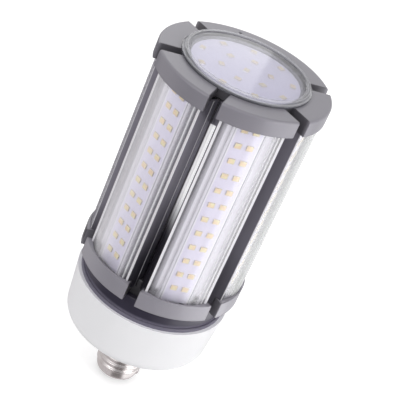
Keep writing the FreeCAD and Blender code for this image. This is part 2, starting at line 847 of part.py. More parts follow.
strip_route = [
    vector(strip_lead_rise, lead_side, driver_top),
    vector(strip_lead_rise, lead_side, strip_lead_z),
    vector(plate_front, lead_side, strip_lead_z),
]
strip_lead = bar(strip_route, lead_radius)
save(Part.makeCompound(around(strip_lead, strip_angles)), "strip_leads")
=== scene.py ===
# %% [markdown]
# # A corn lamp, dressed in Blender
#
# The lamp comes packed from CAD as a frame of closed solids: six LED strips round an open core, a lobed
# cap with a lens, a ring, a flange, a driver housing and a screw base. Those solids keep their size and
# place. What is added here is what CAD leaves plain: the finish of each material, the small LED packages
# with their yellow phosphor, the solder under them, and the light they are seen in.

# %% load the frame
import math

import bmesh
import bpy
from mathutils import Matrix, Vector


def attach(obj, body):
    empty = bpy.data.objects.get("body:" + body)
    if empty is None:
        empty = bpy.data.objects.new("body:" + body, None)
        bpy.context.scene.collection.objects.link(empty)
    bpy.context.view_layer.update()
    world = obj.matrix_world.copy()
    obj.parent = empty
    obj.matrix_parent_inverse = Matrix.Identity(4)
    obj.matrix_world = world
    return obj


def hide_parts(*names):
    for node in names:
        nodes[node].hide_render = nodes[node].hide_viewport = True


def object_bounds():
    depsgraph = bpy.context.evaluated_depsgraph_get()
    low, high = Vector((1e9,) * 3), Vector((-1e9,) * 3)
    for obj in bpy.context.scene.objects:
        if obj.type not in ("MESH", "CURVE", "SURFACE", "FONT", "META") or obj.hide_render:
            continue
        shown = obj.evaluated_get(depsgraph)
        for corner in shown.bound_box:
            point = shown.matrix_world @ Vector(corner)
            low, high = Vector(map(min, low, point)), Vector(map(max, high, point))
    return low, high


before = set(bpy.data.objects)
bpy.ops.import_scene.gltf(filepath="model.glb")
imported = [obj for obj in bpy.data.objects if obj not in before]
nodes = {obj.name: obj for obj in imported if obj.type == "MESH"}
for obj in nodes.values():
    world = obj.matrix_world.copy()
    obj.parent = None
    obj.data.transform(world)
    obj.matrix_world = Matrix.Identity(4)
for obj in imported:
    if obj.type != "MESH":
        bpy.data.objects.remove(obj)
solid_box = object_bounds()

box_corners = [tuple(round(value, 4) for value in corner) for corner in solid_box]
print("nodes loaded:", len(nodes), "box:", box_corners)

# %% [markdown]
# ## Where the camera stands
#
# A product picture is a view through a long lens, a little over the lamp, with the picture tilted so that
# the lamp leans. The tilt could come from leaning the lamp, but the lamp has to stay in the frame that
# CAD gave it. So the camera is rolled instead: its place and its three axes are written out, and the lens
# length sets how large the lamp is.

# %% camera
camera_data = bpy.data.cameras.new("studio_camera")
camera_data.lens = 110.48
camera_data.sensor_width = 36.0
camera_data.clip_end = 10.0
camera = bpy.data.objects.new("studio_camera", camera_data)
to_right = Vector((0.869659, 0.345813, 0.35229))
to_top = Vector((-0.474801, 0.390614, 0.78867))
to_back = Vector((0.135123, -0.853136, 0.50389))
camera_spot = (0.092975, -0.553734, 0.429451)
turned = Matrix((to_right, to_top, to_back)).transposed().to_4x4()
camera.matrix_world = Matrix.Translation(camera_spot) @ turned
bpy.context.scene.collection.objects.link(camera)
bpy.context.scene.camera = camera
print("camera", round(camera.location.length, 3), "m from the neck")

# %% [markdown]
# ## Shader sums as Python
#
# A material in Blender is a net of nodes. Long nets are hard to read, so here a socket is wrapped in a
# small class, and plain Python sums on it add the nodes: numbers become Math nodes, vectors Vector Math
# and colours Mix. Every other node comes from one method, which takes its type, its settings and what
# goes into its sockets.

# %% sockets that can be added and multiplied
class Wire:
    def __init__(self, finish, socket):
        self.finish = finish
        self.socket = socket

    def combine(self, operation, first, second):
        # the kind of the socket decides the node; a Mix node keeps its colours in sockets 6 and 7 and its
        # coloured result in output 2
        if self.socket.type == "VECTOR":
            return self.finish.add("ShaderNodeVectorMath", {"operation": operation}, {0: first, 1: second})
        if self.socket.type == "RGBA":
            settings = {"data_type": "RGBA", "blend_type": operation}
            return self.finish.add("ShaderNodeMix", settings, {0: 1.0, 6: first, 7: second}, 2)
        return self.finish.add("ShaderNodeMath", {"operation": operation}, {0: first, 1: second})

    def __add__(self, other):
        return self.combine("ADD", self, other)

    def __radd__(self, other):
        return self.combine("ADD", other, self)

    def __sub__(self, other):
        return self.combine("SUBTRACT", self, other)

    def __rsub__(self, other):
        return self.combine("SUBTRACT", other, self)

    def __mul__(self, other):
        return self.combine("MULTIPLY", self, other)

    def __rmul__(self, other):
        return self.combine("MULTIPLY", other, self)

    def number(self, operation, other=0.0):
        # the sums of single numbers that have no sign in Python, such as a sine or the larger of two
        return self.finish.add("ShaderNodeMath", {"operation": operation}, {0: self, 1: other})

    def step(self, start, full):
        # 0 at start and before it, 1 at full and beyond, smooth between; start may be the larger of the two
        low, high, at_low, at_high = (start, full, 0.0, 1.0) if start < full else (full, start, 1.0, 0.0)
        values = {0: self, 1: low, 2: high, 3: at_low, 4: at_high}
        return self.finish.add("ShaderNodeMapRange", {"interpolation_type": "SMOOTHSTEP"}, values)

    def between(self, low, high, soft):
        # 1 from low to high, with ends that are soft on both sides
        return self.step(low - soft, low + soft) * self.step(high + soft, high - soft)


print("sums ready:", Wire.__name__)


# %% a finish that collects its nodes
class Finish:
    def __init__(self, owner):
        # the owner is a material or the world, and a plain name makes a new material
        self.owner = bpy.data.materials.new(owner) if isinstance(owner, str) else owner
        self.owner.use_nodes = True
        self.tree = self.owner.node_tree
        self.tree.nodes.clear()

    def add(self, kind, settings=None, values=None, output=0):
        node = self.tree.nodes.new(kind)
        for name, value in (settings or {}).items():
            setattr(node, name, value)
        for name, value in (values or {}).items():
            socket = node.inputs[name]
            if isinstance(value, Wire):
                self.tree.links.new(value.socket, socket)
            elif socket.type == "RGBA" and len(value) == 3:
                socket.default_value = (*value, 1.0)
            else:
                socket.default_value = value
        return Wire(self, node.outputs[output])

    def mix(self, factor, low, high):
        # one colour where the factor is 0, the other where it is 1
        return self.add("ShaderNodeMix", {"data_type": "RGBA"}, {0: factor, 6: low, 7: high}, 2)

    def layered(self, colour, layers):
        # each layer is a mask and a colour that covers what lies under it where the mask is 1
        for mask, over in layers:
            colour = self.mix(mask, colour, over)
        return colour

    def blend(self, factor, low, high):
        # the same choice between two shaders
        return self.add("ShaderNodeMixShader", {}, {0: factor, 1: low, 2: high})

    def show(self, surface, kind="ShaderNodeOutputMaterial"):
        # joins the shader to the output, and gives back the material or the world
        output = self.tree.nodes.new(kind)
        self.tree.links.new(surface.socket, output.inputs["Surface"])
        return self.owner


print("node collector ready:", Finish.__name__)

# %% [markdown]
# ## Coordinates of the lamp
#
# Colours and bumps need to know where on the lamp they are. Unwrapped images could carry them, but then
# each solid needs its own. The solids sit at the world's origin, so the object coordinate of a point is
# its place in the lamp, in metres. From it come the height, the distance from the axis, the azimuth and,
# because the six strips repeat every 60 degrees, the depth and the side of a point within its own strip.
# One material then serves all six strips.

# %% places on the lamp as wires
MM = 0.001
SIXTH = math.radians(60.0)


class Place:
    def __init__(self, finish):
        self.point = finish.add("ShaderNodeTexCoord", {}, {}, "Object")
        x, y, z = (finish.add("ShaderNodeSeparateXYZ", {}, {0: self.point}, axis) for axis in "XYZ")
        self.x = x
        self.height = z
        self.radius = (x * x + y * y).number("SQRT")
        self.angle = y.number("ARCTAN2", x)
        # side is the distance from the middle of the strip, and across that from the middle of the groove;
        # six whole strips are added to the azimuth, so that the remainder is never that of a negative number
        from_strip = (self.angle + SIXTH * 6.5).number("MODULO", SIXTH) - SIXTH / 2.0
        from_groove = (self.angle + SIXTH * 6.0).number("MODULO", SIXTH) - SIXTH / 2.0
        self.depth = self.radius * from_strip.number("COSINE")
        self.side = self.radius * from_strip.number("SINE")
        self.across = self.radius * from_groove.number("SINE")
        self.strip = finish.add("ShaderNodeCombineXYZ", {}, {0: self.depth, 1: self.side, 2: self.height})

    def sector(self, low, high, soft):
        # 1 between two azimuths in degrees
        return self.angle.between(math.radians(low), math.radians(high), math.radians(soft))


print("one strip takes", round(math.degrees(SIXTH)), "degrees")

# %% helpers that every finish uses
WHITE = (1.0, 1.0, 1.0)


def noise(finish, vector, scale, detail=2.0, roughness=0.5):
    values = {"Vector": vector, "Scale": scale, "Detail": detail, "Roughness": roughness}
    return finish.add("ShaderNodeTexNoise", {}, values)


def bump(finish, height, distance, normal=None):
    values = {"Height": height, "Distance": distance, "Strength": 1.0}
    if normal:
        values["Normal"] = normal
    return finish.add("ShaderNodeBump", {}, values)


def principled(finish, colour, roughness, others=None):
    values = {"Base Color": colour, "Roughness": roughness}
    values.update(others or {})
    return finish.add("ShaderNodeBsdfPrincipled", {}, values)


def dress(names, material):
    for name in names:
        slots = nodes[name].data.materials
        slots.clear()
        slots.append(material)
    print(material.name, "on", ", ".join(names))


print("helpers ready for", len(nodes), "nodes")

# %% [markdown]
# ## Grey moulded plastic
#
# The cap and the ring are moulded in a mid grey with a fine spark-eroded texture, and the ring's grey is
# a little lighter. A bitmap of grain could do it, but noise keeps its scale on every face and needs no
# unwrapping. Two noises are used: a fine one for the grain in the bump and a broad one that shifts the
# tone and the gloss slightly, as handled plastic does. A bevel node rounds the sharp edges of the solids,
# but only in the way they catch light.
#
# Little light gets into the slots between the lobes. The soft light of the studio finds its way in more
# than it does on the real lamp, so shade is painted into the slots, and their place on the lamp says how
# much.

# %% painted shade inside the slots of the cap and the ring
def painted_slot_shade(place, dark):
    # painted shade: how much of its tone the plastic keeps, less within 3.9 mm of a groove's middle, from the
    # mouth inwards
    on_ring = place.height.step(100.0 * MM, 90.0 * MM)
    on_cap = place.height.step(90.0 * MM, 100.0 * MM)
    in_slot = place.across.number("ABSOLUTE").step(3.9 * MM, 3.55 * MM)
    in_slot = in_slot * place.radius.step(46.3 * MM, 44.0 * MM)

    # the slot at the back of the cap is closed, so there is nothing to darken
    closed = place.sector(81.0, 99.0, 1.0) * on_cap
    in_slot = in_slot * (1.0 - closed)

    # on the ring, the left lobe's faces and the near face of the right lobe look towards light and stay paler
    left_lobe = place.angle.number("ABSOLUTE").step(math.radians(149.5), math.radians(150.5)) * on_ring
    right_face = place.sector(-30.0, -10.0, 0.5) * on_ring
    kept = 1.0 - in_slot * (dark - left_lobe * 0.5 - right_face * 0.4)

    # painted reflection: the rounded end of the ring's left lobe is darkened, as if it mirrored the dark side
    # of the room
    dark_room_reflection = place.radius.step(45.2 * MM, 45.8 * MM) * place.height.step(57.0 * MM, 59.5 * MM)
    return kept * (1.0 - left_lobe * dark_room_reflection * 0.65)


# %% the recipe of a moulding
def moulded(name, colour, roughness, grain=0.35 * MM, deep=0.02 * MM, shift=0.04, shine=0.5,
            slots=0.0, rounded=0.0, ledge=None):
    # grain and deep are the width and the depth of the texture, shift is how far the tone wanders, slots how
    # dark the painted shade in the slots gets, rounded the radius of an edge, and ledge two heights and the
    # colour beyond them, which paints light on a lip or a rim
    finish = Finish(name)
    place = Place(finish)
    fine = noise(finish, place.point, 1.0 / grain, 3.0, 0.6)
    broad = noise(finish, place.point, 45.0)
    tone = (broad - 0.5) * (2.0 * shift) + 1.0
    if slots:
        tone = tone * painted_slot_shade(place, slots)
    grey = finish.add("ShaderNodeCombineColor", {}, {0: tone, 1: tone, 2: tone})
    tint = grey * colour
    if ledge:
        start, full, beyond = ledge
        tint = finish.mix(place.height.step(start, full), tint, beyond)
    gloss = (fine - 0.5) * 0.12 + (broad - 0.5) * 0.08 + roughness
    edges = finish.add("ShaderNodeBevel", {"samples": 4}, {"Radius": rounded}) if rounded else None
    others = {"Normal": bump(finish, fine, deep, edges), "Specular IOR Level": shine}
    return finish.show(principled(finish, tint, gloss, others))


print("recipe ready:", moulded.__name__)

# %% cap and ring
cap_grey = (0.199, 0.190, 0.219)
ring_grey = (0.247, 0.236, 0.270)
half_gloss = 0.36
edge = 1.0 * MM
dress(["top_cap"], moulded("moulded_grey", cap_grey, half_gloss, shine=0.65, slots=0.6, rounded=edge))
ring_plastic = moulded("moulded_light_grey", ring_grey, half_gloss, shine=0.75, slots=0.8, rounded=edge)
dress(["bottom_ring"], ring_plastic)

# %% [markdown]
# ## Dark flange
#
# The flange between the ring and the housing is almost black with a violet cast, and smoother than the
# cap. Its thin lip, which sits on the housing, catches light from the white plastic under it, and that light
# is painted into the lip as a paler tone. The same recipe gives it, with other numbers. The painted light
# could be a second material, but the lip has a height of its own on the lamp, so one line of numbers does it.

# %% flange
violet_black = (0.030, 0.026, 0.045)
# painted light: below 44.1 mm the lip takes a paler tone, fading out by 46.0 mm, for the light the housing
# throws up on it
flange_lip_light = (46.0 * MM, 44.1 * MM, (0.14, 0.13, 0.175))
dark_plastic = moulded("moulded_dark", violet_black, 0.34, grain=0.5 * MM, deep=0.01 * MM,
                       shift=0.08, shine=0.35, ledge=flange_lip_light)
dress(["base_flange"], dark_plastic)

# %% [markdown]
# ## White driver housing
#
# The housing is a smooth white moulding with a soft gloss. A plain white shader could do, but it looks
# like paper, so the same recipe is used with a grain so shallow that it only blurs what the plastic
# mirrors. The narrow rim under the flange's lip lies in its shadow, and is written a little paler to make
# up for that.

# %% housing
off_white = (0.765, 0.762, 0.78)
# painted light: above 42.2 mm the rim is paler, to make up for the shadow of the lip
upper_rim = (41.9 * MM, 42.2 * MM, (0.93, 0.92, 0.96))
white_plastic = moulded("moulded_white", off_white, 0.38, grain=0.6 * MM, deep=0.006 * MM,
                        shift=0.012, shine=0.2, ledge=upper_rim)
dress(["driver_housing"], white_plastic)

# %% [markdown]
# ## Extruded aluminium
#
# A strip's profile is one extrusion of aluminium. The die leaves faint lines along it, so the noise is
# stretched along the height. The front lips of its side walls are pale, the rails beside the board are
# bright, and the deep outer walls are a dark satin, with painted shade that makes it darker towards the ring.
#
# Metal shows mostly what stands round it. A picture of a room could be mirrored in it, but then a picture
# has to come with the file. Here the tones that the room leaves on the metal are painted by their place on
# the lamp, as painted reflection and painted shade: paler on the walls that look to the open left side,
# darker low in a groove. In one groove a lamp's light is thrown to and fro between two walls, and its
# reflection is painted as a pale band. A plain scene carries too little of that light, so the band has a
# weak glow of its own, which is painted light too.

# %% tones between the lips of a strip
def front_tones(finish, place):
    side = place.side.number("ABSOLUTE")
    # painted shade: left of the board the tone falls to dark towards the left lip
    left_shade = place.side.step(-9.5 * MM, -16.0 * MM)
    right_floor = place.side.step(11.8 * MM, 13.2 * MM)
    rails = side.between(10.3 * MM, 11.9 * MM, 0.1 * MM)
    rails = rails.number("MAXIMUM", place.side.between(8.3 * MM, 11.9 * MM, 0.1 * MM))
    lip_flanks = place.depth.step(38.5 * MM, 38.8 * MM)
    # painted shade: at the lamp's far right, beyond x = 36 mm, the front is half-way greyer
    right_side_shade = place.x.step(34.5 * MM, 36.0 * MM)
    # painted shade: dark corners at the foot of each strip, beside the rails
    strip_foot_shade = place.height.step(68.0 * MM, 64.8 * MM) * side.step(9.0 * MM, 11.0 * MM)
    return finish.layered((0.84, 0.83, 0.87), (
        (left_shade, (0.06, 0.057, 0.068)),
        (right_floor, (0.66, 0.65, 0.68)),
        (rails, (0.96, 0.95, 0.98)),
        (lip_flanks, (0.90, 0.89, 0.92)),
        (right_side_shade * 0.5, (0.58, 0.57, 0.59)),
        (strip_foot_shade * 0.85, (0.03, 0.03, 0.04)),
    ))


# %% tones of the outer walls
def wall_tones(finish, place, lines):
    # painted shade: from 104 mm down to 72 mm the satin darkens towards the ring, from its own grey
    rising = place.height.step(72.0 * MM, 104.0 * MM)
    satin = finish.mix(rising, (0.027, 0.025, 0.034), (0.128, 0.121, 0.146))

    # painted reflection and shade: of a strip's two walls the left one is paler, as if it mirrored the pale
    # side, unless it lies low in a groove, where it is painted dark
    left_wall = place.side.step(1.0 * MM, -1.0 * MM)
    past_groove = place.angle.step(math.radians(-75.0), math.radians(-80.0))
    groove_shade = left_wall * past_groove * place.height.step(122.0 * MM, 90.0 * MM)
    # painted light: the walls at the lamp's far left are paler, and more so higher up
    left_strip_light = place.x.step(-24.0 * MM, -27.0 * MM)
    left_strip_light = left_strip_light * (place.height.step(62.0 * MM, 90.0 * MM) * 0.65 + 0.35)
    bright_lines = lines.step(0.55, 0.8)
    # painted highlight: a bright line along a ridge of the outer wall, 33.0 to 33.6 mm from the axis
    ridge_highlight = place.depth.between(33.0 * MM, 33.6 * MM, 0.1 * MM) * place.side.step(16.6 * MM, 16.8 * MM)
    return finish.layered(satin, (
        (left_wall * (1.0 - groove_shade) * 0.28, (0.30, 0.285, 0.34)),
        (groove_shade, (0.022, 0.02, 0.028)),
        (left_strip_light, (0.26, 0.245, 0.29)),
        (bright_lines * 0.3, (0.24, 0.23, 0.26)),
        (ridge_highlight, (0.97, 0.96, 0.98)),
    ))


print("tones ready:", front_tones.__name__, "and", wall_tones.__name__)

# %% strip profiles
def extruded(name):
    finish = Finish(name)
    place = Place(finish)
    lines = noise(finish, place.strip * (2600.0, 2600.0, 9.0), 1.0, 3.0, 0.6)
    cloud = noise(finish, place.point, 60.0, 3.0, 0.55)

    # the top end of a profile gets the tones of its walls
    lip = place.depth.step(39.7 * MM, 39.95 * MM)
    top_end = place.height.step(175.7 * MM, 175.9 * MM)
    wall = place.side.number("ABSOLUTE").step(16.75 * MM, 16.9 * MM)
    wall = wall.number("MAXIMUM", top_end) * (1.0 - lip)

    # the painted reflection band fades in upwards and ends on a slanted edge
    slanted = place.height - place.depth * 0.46
    reflection_band = place.sector(-89.5, -83.9, 0.3) * wall * place.height.step(98.0 * MM, 128.0 * MM)
    reflection_band = reflection_band * slanted.step(149.6 * MM, 148.8 * MM)
    colour = finish.layered(front_tones(finish, place), (
        (lip, (0.72, 0.71, 0.74)),
        (wall, wall_tones(finish, place, lines)),
        (reflection_band, (0.98, 0.97, 0.98)),
    ))
    # painted light: the reflection band also glows a little
    glow = finish.mix(reflection_band, (0.0, 0.0, 0.0), (0.30, 0.30, 0.31))

    # only partly metallic, so that the written tones are not lost in what the plain studio mirrors
    metal = 0.35 - lip * 0.2 - wall * 0.1 - reflection_band * 0.25
    rough = 0.34 + (lines - 0.5) * 0.12 + (cloud - 0.5) * 0.06
    others = {"Metallic": metal, "Normal": bump(finish, lines, 0.012 * MM), "Emission Color": glow,
              "Emission Strength": 1.0, "Specular IOR Level": 0.25}
    return finish.show(principled(finish, colour, rough, others))


strips = range(1, 7)


def numbered(name):
    # the names of the six pieces of a kind, one for each strip
    return ["%s_%d" % (name, number) for number in strips]


dress(numbered("strip_profile"), extruded("extruded_aluminium"))

# %% [markdown]
# ## White LED boards
#
# The boards are aluminium under white solder mask. The mask is slightly lavender, and its gloss is broken
# by the copper tracks under it, which show as very low ridges. They could be cut into the mesh, but they
# are lower than a hair is thick, so they are masks worked out from the place on the strip: two tracks
# along the edges and a link between the columns of LEDs. The bare edge of a board is whiter, and a grey
# line runs where it meets its rail.

# %% the recipe of a solder mask
def solder_mask(finish, place, tracks, edges=(), shine=0.5):
    fine = noise(finish, place.point, 1800.0, 3.0)
    lavender_white = (0.85, 0.82, 0.94)
    over_copper = (0.87, 0.84, 0.95)
    colour = finish.mix(tracks * 0.5, lavender_white, over_copper)
    relief = bump(finish, tracks + fine * 0.15, 0.03 * MM)
    others = {"Normal": relief, "Specular IOR Level": shine}
    rough = 0.34 + (fine - 0.5) * 0.1
    return finish.show(principled(finish, finish.layered(colour, edges), rough, others))


print("recipe ready:", solder_mask.__name__)

# %% strip boards
def strip_mask(name):
    finish = Finish(name)
    place = Place(finish)
    side = place.side.number("ABSOLUTE")
    tracks = side.between(5.6 * MM, 7.4 * MM, 0.06 * MM)
    link = side.step(0.9 * MM, 0.7 * MM)
    bare_edge = side.step(6.7 * MM, 6.9 * MM)
    # painted shade: a grey line in the joint between board and rail, deeper on the right half of the strip
    rail_gap_shade = side.between(7.45 * MM, 8.1 * MM, 0.1 * MM)
    right_half = place.side.step(-1.0 * MM, 1.0 * MM)
    edges = (
        (bare_edge, (0.96, 0.95, 0.98)),
        (rail_gap_shade * (0.55 + right_half * 0.4), (0.40, 0.39, 0.44)),
    )
    return solder_mask(finish, place, tracks + link, edges, 0.35)


dress(numbered("strip_board"), strip_mask("white_solder_mask"))

# %% top board
def round_mask(name):
    finish = Finish(name)
    place = Place(finish)
    inner = place.radius.between(12.4 * MM, 14.4 * MM, 0.06 * MM)
    outer = place.radius.between(24.0 * MM, 26.0 * MM, 0.06 * MM)
    return solder_mask(finish, place, inner + outer)


dress(["top_board"], round_mask("round_solder_mask"))

# %% [markdown]
# ## LED packages
#
# Each LED is a white plastic cup 3.4 by 2.8 mm with two tinned tabs under its ends, and in the cup a
# window of cream phosphor. The CAD solid has only the outer block. A picture of a package on that block
# would stay flat at a glancing angle, so each package is a small mesh: a body with sloped edges, a sunken
# window with its sloping sides, and the tabs with their solder. The packages of one strip are one mesh,
# made by copying the same faces to each place, so that they stay on their board. Each such piece then
# takes the place of its CAD node.

# %% one package as faces
BODY, WINDOW, TAB = 0, 1, 2

# each outline is a width, a length and a height above the board, in mm
BODY_OUTLINES = ((3.4, 2.8, 0.05), (3.4, 2.8, 0.5), (3.3, 2.7, 0.7), (3.15, 2.58, 0.7), (3.0, 2.42, 0.58))
TAB_OUTLINES = ((0.5, 2.3, 0.0), (0.26, 2.1, 0.26))
TAB_FROM_MIDDLE = 1.62


def corners(mesh, spot, width, length, height):
    signs = ((-1, -1), (1, -1), (1, 1), (-1, 1))
    return [mesh.verts.new(spot @ Vector((x * width / 2, y * length / 2, height))) for x, y in signs]


def stack(mesh, spot, outlines, material, top_material):
    # a closed skin from a bottom face over all the outlines to a top face
    rings = [corners(mesh, spot, *outline) for outline in outlines]
    mesh.faces.new(list(reversed(rings[0]))).material_index = material
    for low, high in zip(rings, rings[1:]):
        for this in range(4):
            after = (this + 1) % 4
            wall = mesh.faces.new((low[this], low[after], high[after], high[this]))
            wall.material_index = material
    mesh.faces.new(rings[-1]).material_index = top_material


def package(mesh, spot):
    stack(mesh, spot, BODY_OUTLINES, BODY, WINDOW)
    for sign in (-1, 1):
        tab_spot = spot @ Matrix.Translation((sign * TAB_FROM_MIDDLE, 0, 0))
        stack(mesh, tab_spot, TAB_OUTLINES, TAB, TAB)


print("package body", BODY_OUTLINES[0][:2], "mm")

# %% many packages as one piece
def packages(name, spots, materials):
    mesh = bmesh.new()
    for spot in spots:
        package(mesh, spot)
    bmesh.ops.recalc_face_normals(mesh, faces=mesh.faces[:])
    bmesh.ops.scale(mesh, vec=(MM, MM, MM), verts=mesh.verts)
    data = bpy.data.meshes.new(name)
    mesh.to_mesh(data)
    mesh.free()
    piece = bpy.data.objects.new(name, data)
    bpy.context.scene.collection.objects.link(piece)
    for material in materials:
        data.materials.append(material)
    print(name, "has", len(spots), "packages")
    return piece


print("recipe ready:", packages.__name__)

# %% finishes of a package
def phosphor(name):
    # cream with grains in it, and warmer where a broad noise says
    finish = Finish(name)
    place = Place(finish)
    grains = noise(finish, place.point, 5200.0, 2.0, 0.7)
    patch = noise(finish, place.point, 420.0, 1.0)
    colour = finish.mix(patch.step(0.35, 0.65), (0.95, 0.73, 0.48), (0.94, 0.86, 0.52))
    colour = finish.mix(grains * 0.25, colour, (0.96, 0.88, 0.68))
    others = {"Normal": bump(finish, grains, 0.02 * MM)}
    return finish.show(principled(finish, colour, 0.5 + (grains - 0.5) * 0.2, others))


def tinned(name):
    finish = Finish(name)
    place = Place(finish)
    grains = noise(finish, place.point, 2600.0)
    others = {"Metallic": 1.0, "Normal": bump(finish, grains, 0.02 * MM)}
    return finish.show(principled(finish, (0.78, 0.77, 0.76), 0.3 + (grains - 0.5) * 0.2, others))


cup_white = moulded("led_cup_white", (0.90, 0.80, 0.62), 0.4, grain=0.3 * MM, deep=0.004 * MM, shift=0.02)
led_finishes = [cup_white, phosphor("cream_phosphor"), tinned("solder_tin")]
print("package finishes:", [material.name for material in led_finishes])

# %% packages of the strips
# sizes in mm: the board's front from the axis, the height of the top row, the step from row to row and
# the distance of a column from the strip's middle
board_front = 39.4
first_row_z = 169.1
row_pitch = 9.0
column = 3.1
rows = 12

# on a board, x runs across the strip, y up the lamp and z out of the board
on_board = Matrix(((0, 0, 1, board_front), (1, 0, 0, 0), (0, 1, 0, 0), (0, 0, 0, 1)))
for number in strips:
    to_strip = Matrix.Rotation(math.radians(60.0 * (number - 1)), 4, "Z")
    spots = []
    for row in range(rows):
        for sign in (-1, 1):
            spot = Matrix.Translation((sign * column, first_row_z - row_pitch * row, 0))
            spots.append(to_strip @ on_board @ spot)
    piece = packages("led_row_%d" % number, spots, led_finishes)
    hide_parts("strip_leds_%d" % number)
    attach(piece, "root")

# %% packages under the lens
top_board_z = 180.7

# each circle has a radius in mm, a number of packages and the azimuth of the first
circles = ((0.0, 1, 0.0), (13.4, 6, 30.0), (25.0, 9, 20.0))
quarter_turn = Matrix.Rotation(math.radians(90.0), 4, "Z")
spots = []
for radius, count, first in circles:
    for index in range(count):
        spin = Matrix.Rotation(math.radians(first + 360.0 * index / count), 4, "Z")
        spots.append(spin @ Matrix.Translation((radius, 0, top_board_z)) @ quarter_turn)
piece = packages("led_top", spots, led_finishes)
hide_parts("top_leds")
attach(piece, "root")

# %% [markdown]
# ## Clear covers and lens
#
# The covers and the lens are clear plastic about a millimetre thick. Real glass shading bends every ray
# and keeps lamps from lighting what is inside, which leaves noise and gloom. A wall this thin hardly
# bends the view, so it is a mix instead: see-through where it is met head on, and mirroring more at a
# glancing angle, as Fresnel says.
#
# Clear plastic is not clear everywhere. The die leaves white lines along the shoulders of a cover, the
# lens has rings in its rim, and a bowed wall looks hazy where it is seen edge on. Beside one edge of a
# cover lie dark lines and a bright one, painted shade and a painted highlight that stand for the profile's
# snap slot seen through the cover. As meshes these would be thousands of faces, so each one is a cloud: a
# little plain plastic mixed over the clear wall, where a mask says. A ray passes two faces of a wall and
# so counts each cloud twice.

# %% the recipe of a clear wall
class Clear:
    def __init__(self, name, tint, streaks, grazing):
        self.finish = finish = Finish(name)
        self.place = Place(finish)
        self.glance = finish.add("ShaderNodeLayerWeight", {}, {"Blend": 0.5}, "Facing")
        fresnel = self.glance.number("POWER", 5.0) * grazing + 0.04
        streak = noise(finish, self.place.strip * streaks, 1.0)
        self.rough = streak * 0.05 + 0.04
        values = {"Color": WHITE, "Roughness": self.rough, "Normal": bump(finish, streak, 0.01 * MM)}
        gloss = finish.add("ShaderNodeBsdfGlossy", {}, values)
        through = finish.add("ShaderNodeBsdfTransparent", {}, {"Color": tint})
        self.surface = finish.blend(fresnel, through, gloss)

    def cloud(self, factor, colour):
        # part of the light stays in the wall here
        body = principled(self.finish, colour, self.rough * 3.0)
        self.surface = self.finish.blend(factor, self.surface, body)


print("recipe ready:", Clear.__name__)

# %% strip covers
def cover_finish(name):
    cover = Clear(name, (0.97, 0.97, 0.98), (900.0, 900.0, 2.0), 0.7)
    finish = cover.finish
    place = cover.place
    side = place.side.number("ABSOLUTE")

    # white lines along the shoulders, fewer of them in the painted shade of the left lip and under the
    # painted lines beside the right edge
    lines = noise(finish, place.strip * (1500.0, 1500.0, 1.5), 1.0, 2.0, 0.6)
    even = lines.step(0.35, 0.65).number("MAXIMUM", place.side.step(-8.0 * MM, -10.0 * MM) * 0.75)
    shoulder = side.step(9.5 * MM, 13.5 * MM) * (1.0 - side.step(13.8 * MM, 15.2 * MM) * 0.6)
    by_snap_slot = place.side.step(12.0 * MM, 12.6 * MM)
    shaded = place.side.step(-10.0 * MM, -12.5 * MM)
    white_lines = finish.mix(even, (0.60, 0.57, 0.63), (0.95, 0.93, 0.98))
    cover.cloud(shoulder * (1.0 - by_snap_slot * 0.7) * (1.0 - shaded * 0.75) * 0.40, white_lines)

    # painted shade and a painted highlight: dark lines beside the right edge, for the profile's snap slot
    # seen through the cover, and a bright line among them
    highlight_line_at = 13.95 * MM
    line_pitch = 2.1 * MM
    snap_slot_shade = ((side - highlight_line_at) * (2.0 * math.pi / line_pitch)).number("COSINE").step(0.7, 0.1)
    right_edge = place.side.between(12.1 * MM, 15.9 * MM, 0.1 * MM)
    cover.cloud(right_edge * snap_slot_shade * 0.30, (0.06, 0.06, 0.07))
    cover.cloud(place.side.between(13.8 * MM, 14.2 * MM, 0.1 * MM) * 0.5, (0.97, 0.97, 0.98))

    # haze at a glancing angle: pale, with painted shade that makes it darker at the far left of the lamp,
    # greyer at its far right and thinner at the foot corners of the strips
    foot_corner = place.height.step(73.0 * MM, 66.0 * MM) * place.side.step(-9.0 * MM, -11.0 * MM)
    haze_left_shade = place.x.step(-34.0 * MM, -37.0 * MM)
    haze_right_shade = place.x.step(36.5 * MM, 39.5 * MM)
    haze = finish.mix(haze_left_shade, (0.93, 0.91, 0.95), (0.42, 0.40, 0.45))
    haze = finish.mix(haze_right_shade, haze, (0.66, 0.67, 0.65))
    cover.cloud(cover.glance.number("POWER", 2.3) * (1.0 - foot_corner * 0.8) * 0.85, haze)
    return finish.show(cover.surface)


dress(numbered("strip_cover"), cover_finish("clear_cover"))

# %% lens
def lens_finish(name):
    lens = Clear(name, (0.88, 0.88, 0.91), (300.0, 300.0, 300.0), 0.96)
    place = lens.place
    rim = place.radius.step(31.0 * MM, 31.5 * MM)
    ring_pitch = 1.1 * MM
    rings = (place.radius * (2.0 * math.pi / ring_pitch)).number("SINE") * 0.5 + 0.5
    lens.cloud(rim * 0.4, lens.finish.mix(rings, (0.30, 0.30, 0.33), (0.66, 0.66, 0.69)))

    # a painted shadow: a dark line where the rim rests on the cap; and a faint haze over the clear middle
    contact = place.radius.step(34.2 * MM, 34.6 * MM) * place.height.step(182.7 * MM, 182.1 * MM)
    lens.cloud(contact * 0.75, (0.05, 0.05, 0.06))
    lens.cloud((1.0 - rim) * 0.07, (0.80, 0.78, 0.88))
    return lens.finish.show(lens.surface)


dress(["top_lens"], lens_finish("clear_lens"))

